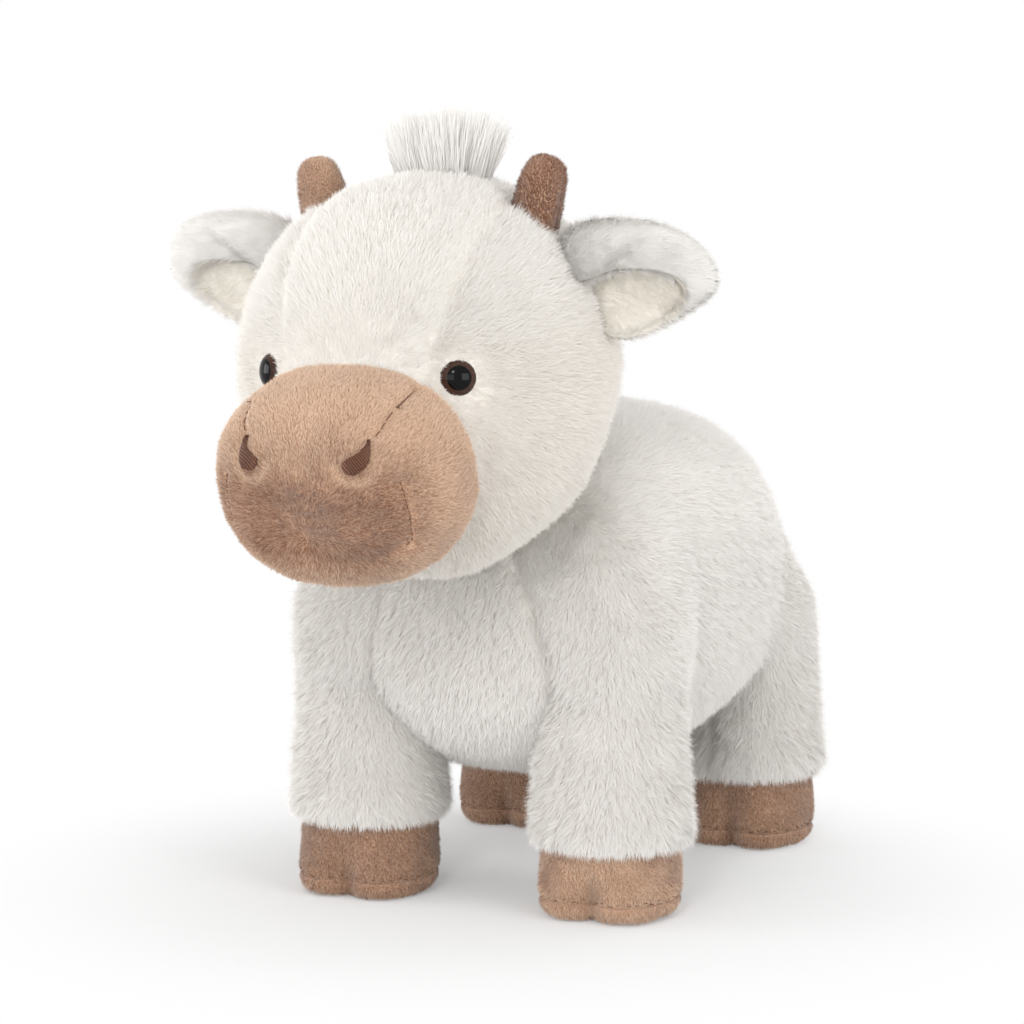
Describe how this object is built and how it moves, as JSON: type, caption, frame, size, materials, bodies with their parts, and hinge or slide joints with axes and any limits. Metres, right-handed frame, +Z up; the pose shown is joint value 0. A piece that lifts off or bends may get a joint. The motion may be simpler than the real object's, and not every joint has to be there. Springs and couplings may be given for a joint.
{
  "type": "plush cow",
  "caption": "Standing stuffed cow in long white pile with a short-pile tan muzzle, horns and hooves; its head nods and turns, its ears fold, its legs give and its tail lifts.",
  "frame": {"origin": "on the floor, under the middle of the bounding box", "axes": "+Z up; -Y is the way the cow faces; +X is the cow's left"},
  "size_m": [0.2248, 0.3678, 0.3087],
  "materials": {
    "white_plush": "long-pile plush",
    "cream_lining": "short-pile plush",
    "tan_plush": "short-pile plush",
    "brown_thread": "satin stitch embroidery",
    "eye_plastic": "glossy",
    "washer_plastic": "moulded",
    "filling": "polyester fibre"
  },
  "bodies": {
    "torso": {"side_panel_left": "white_plush", "side_panel_right": "white_plush", "chest_belly_panel": "white_plush", "body_filling": "filling"},
    "neck": {"neck_filling": "filling"},
    "head": {"forehead_panel": "white_plush", "cheek_panel_left": "white_plush", "cheek_panel_right": "white_plush", "head_filling": "filling", "muzzle_cover": "tan_plush", "nostril_left": "brown_thread", "nostril_right": "brown_thread", "eye_left": "eye_plastic", "eye_right": "eye_plastic", "eye_washer_left": "washer_plastic", "eye_washer_right": "washer_plastic", "horn_cover_left": "tan_plush", "horn_cover_right": "tan_plush", "horn_filling_left": "filling", "horn_filling_right": "filling", "forelock": "white_plush"},
    "ear_left": {"ear_back_left": "white_plush", "ear_lining_left": "cream_lining"},
    "ear_right": {"ear_back_right": "white_plush", "ear_lining_right": "cream_lining"},
    "leg_front_left": {"leg_cover_front_left": "white_plush", "hoof_cover_front_left": "tan_plush", "sole_front_left": "tan_plush", "leg_filling_front_left": "filling"},
    "leg_front_right": {"leg_cover_front_right": "white_plush", "hoof_cover_front_right": "tan_plush", "sole_front_right": "tan_plush", "leg_filling_front_right": "filling"},
    "leg_rear_left": {"leg_cover_rear_left": "white_plush", "hoof_cover_rear_left": "tan_plush", "sole_rear_left": "tan_plush", "leg_filling_rear_left": "filling"},
    "leg_rear_right": {"leg_cover_rear_right": "white_plush", "hoof_cover_rear_right": "tan_plush", "sole_rear_right": "tan_plush", "leg_filling_rear_right": "filling"},
    "tail_base": {"tail_root": "white_plush"},
    "tail": {"tail_tube": "white_plush", "tail_brush": "white_plush"}
  },
  "joints": [
    {"name": "head_nod", "type": "hinge", "parent": "torso", "child": "neck", "pos_m": [0, -0.02755, 0.16146], "axis": [1, 0, 0], "range_deg": [-5, 5], "stiffness_Nm_per_rad": 3},
    {"name": "head_turn", "type": "hinge", "parent": "neck", "child": "head", "pos_m": [0, -0.02755, 0.16146], "axis": [0, -0.7071, 0.7071], "range_deg": [-18, 18], "stiffness_Nm_per_rad": 1},
    {"name": "ear_left_fold", "type": "hinge", "parent": "head", "child": "ear_left", "pos_m": [0.0575, -0.07259, 0.2555], "axis": [0.5446, 0, 0.8387], "range_deg": [-30, 30], "stiffness_Nm_per_rad": 0.03},
    {"name": "ear_right_fold", "type": "hinge", "parent": "head", "child": "ear_right", "pos_m": [-0.0575, -0.07259, 0.2555], "axis": [-0.5446, 0, 0.8387], "range_deg": [-30, 30], "stiffness_Nm_per_rad": 0.03},
    {"name": "leg_front_left_swing", "type": "hinge", "parent": "torso", "child": "leg_front_left", "pos_m": [0.052, -0.02459, 0.104], "axis": [1, 0, 0], "range_deg": [-8, 8], "stiffness_Nm_per_rad": 2},
    {"name": "leg_front_right_swing", "type": "hinge", "parent": "torso", "child": "leg_front_right", "pos_m": [-0.052, -0.02459, 0.104], "axis": [1, 0, 0], "range_deg": [-8, 8], "stiffness_Nm_per_rad": 2},
    {"name": "leg_rear_left_swing", "type": "hinge", "parent": "torso", "child": "leg_rear_left", "pos_m": [0.052, 0.12541, 0.096], "axis": [1, 0, 0], "range_deg": [-8, 8], "stiffness_Nm_per_rad": 2},
    {"name": "leg_rear_right_swing", "type": "hinge", "parent": "torso", "child": "leg_rear_right", "pos_m": [-0.052, 0.12541, 0.096], "axis": [1, 0, 0], "range_deg": [-8, 8], "stiffness_Nm_per_rad": 2},
    {"name": "tail_swing", "type": "hinge", "parent": "torso", "child": "tail_base", "pos_m": [0, 0.16241, 0.1445], "axis": [0, 1, 0], "range_deg": [-40, 40]},
    {"name": "tail_lift", "type": "hinge", "parent": "tail_base", "child": "tail", "pos_m": [0, 0.16241, 0.1445], "axis": [1, 0, 0], "range_deg": [0, 90]}
  ]
}
